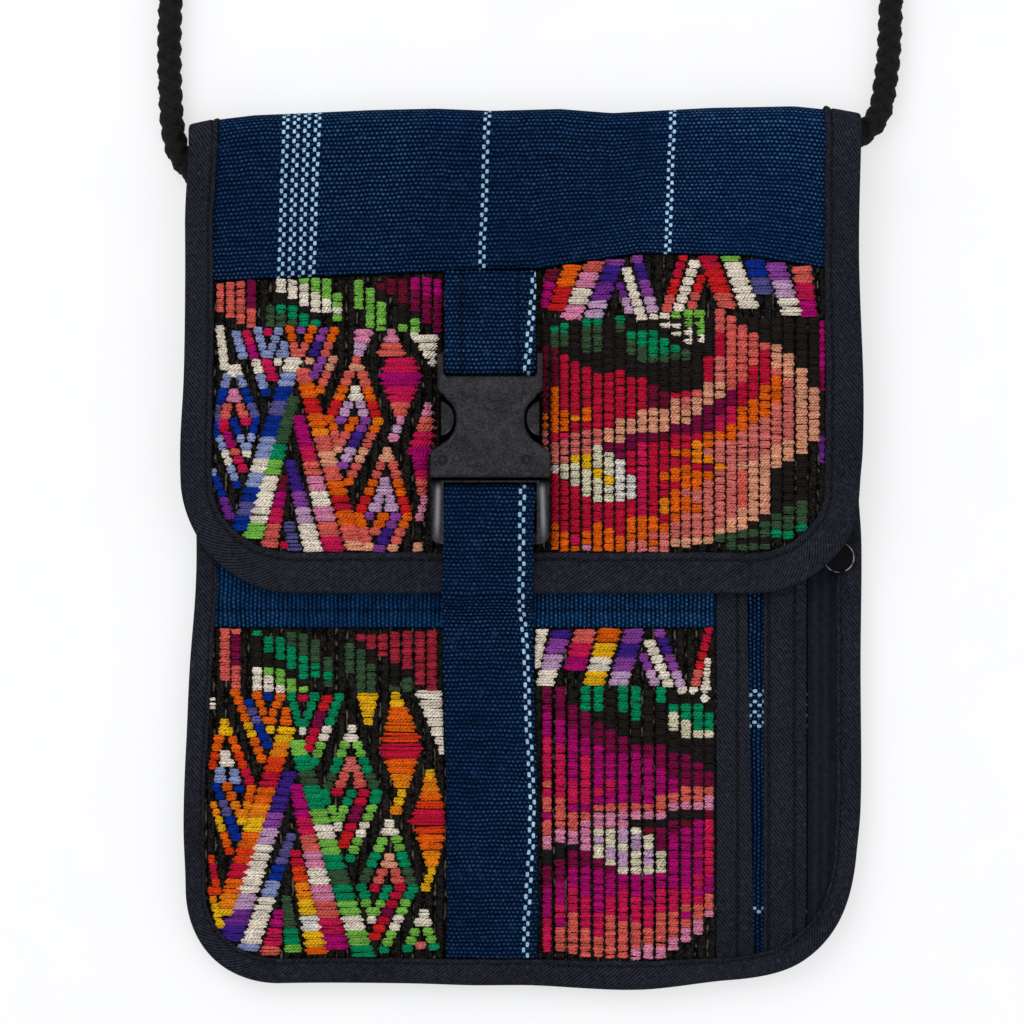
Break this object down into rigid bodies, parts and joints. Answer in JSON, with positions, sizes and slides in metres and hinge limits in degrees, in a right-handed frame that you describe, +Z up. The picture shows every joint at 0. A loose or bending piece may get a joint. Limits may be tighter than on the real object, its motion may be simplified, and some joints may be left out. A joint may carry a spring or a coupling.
{
  "type": "travel document bag",
  "caption": "Flat hand-woven cloth pouch with a buckled brocade flap, slip pocket, side zip, bound edges and a braided neck cord, for carrying travel documents",
  "frame": {"origin": "on the surface that the bag lies on, under the middle of the bag without its cord", "axes": "+X to the right of the bag's front, +Y towards the fold at its top, +Z up out of its front"},
  "size_m": [0.1985, 0.4558, 0.02],
  "materials": {
    "indigo_cloth": "coarse indigo plain weave with fine pale dotted stripes",
    "brocade": "black ground with raised brocade stitches in many bright colours",
    "black_twill": "charcoal black cotton twill tape",
    "black_tape": "fine plain-woven black tape",
    "black_plastic": "moulded black plastic with a fine satin grain",
    "black_gloss": "glossy black with a bright worn rim",
    "black_cord": "black round braid"
  },
  "bodies": {
    "root": {"back_and_flap": "indigo_cloth", "flap_panel": "brocade", "flap_binding": "black_twill", "front_panel": "indigo_cloth", "front_pocket": "brocade", "pocket_hem": "indigo_cloth", "pocket_side_tape": "black_twill", "zip_band": "black_twill", "zip_tape": "black_tape", "zip_pull": "black_gloss", "pouch_binding": "black_twill", "upper_strap": "indigo_cloth", "lower_strap": "indigo_cloth", "buckle_socket": "black_plastic", "buckle_prong": "black_plastic", "neck_cord": "black_cord"}
  },
  "joints": []
}
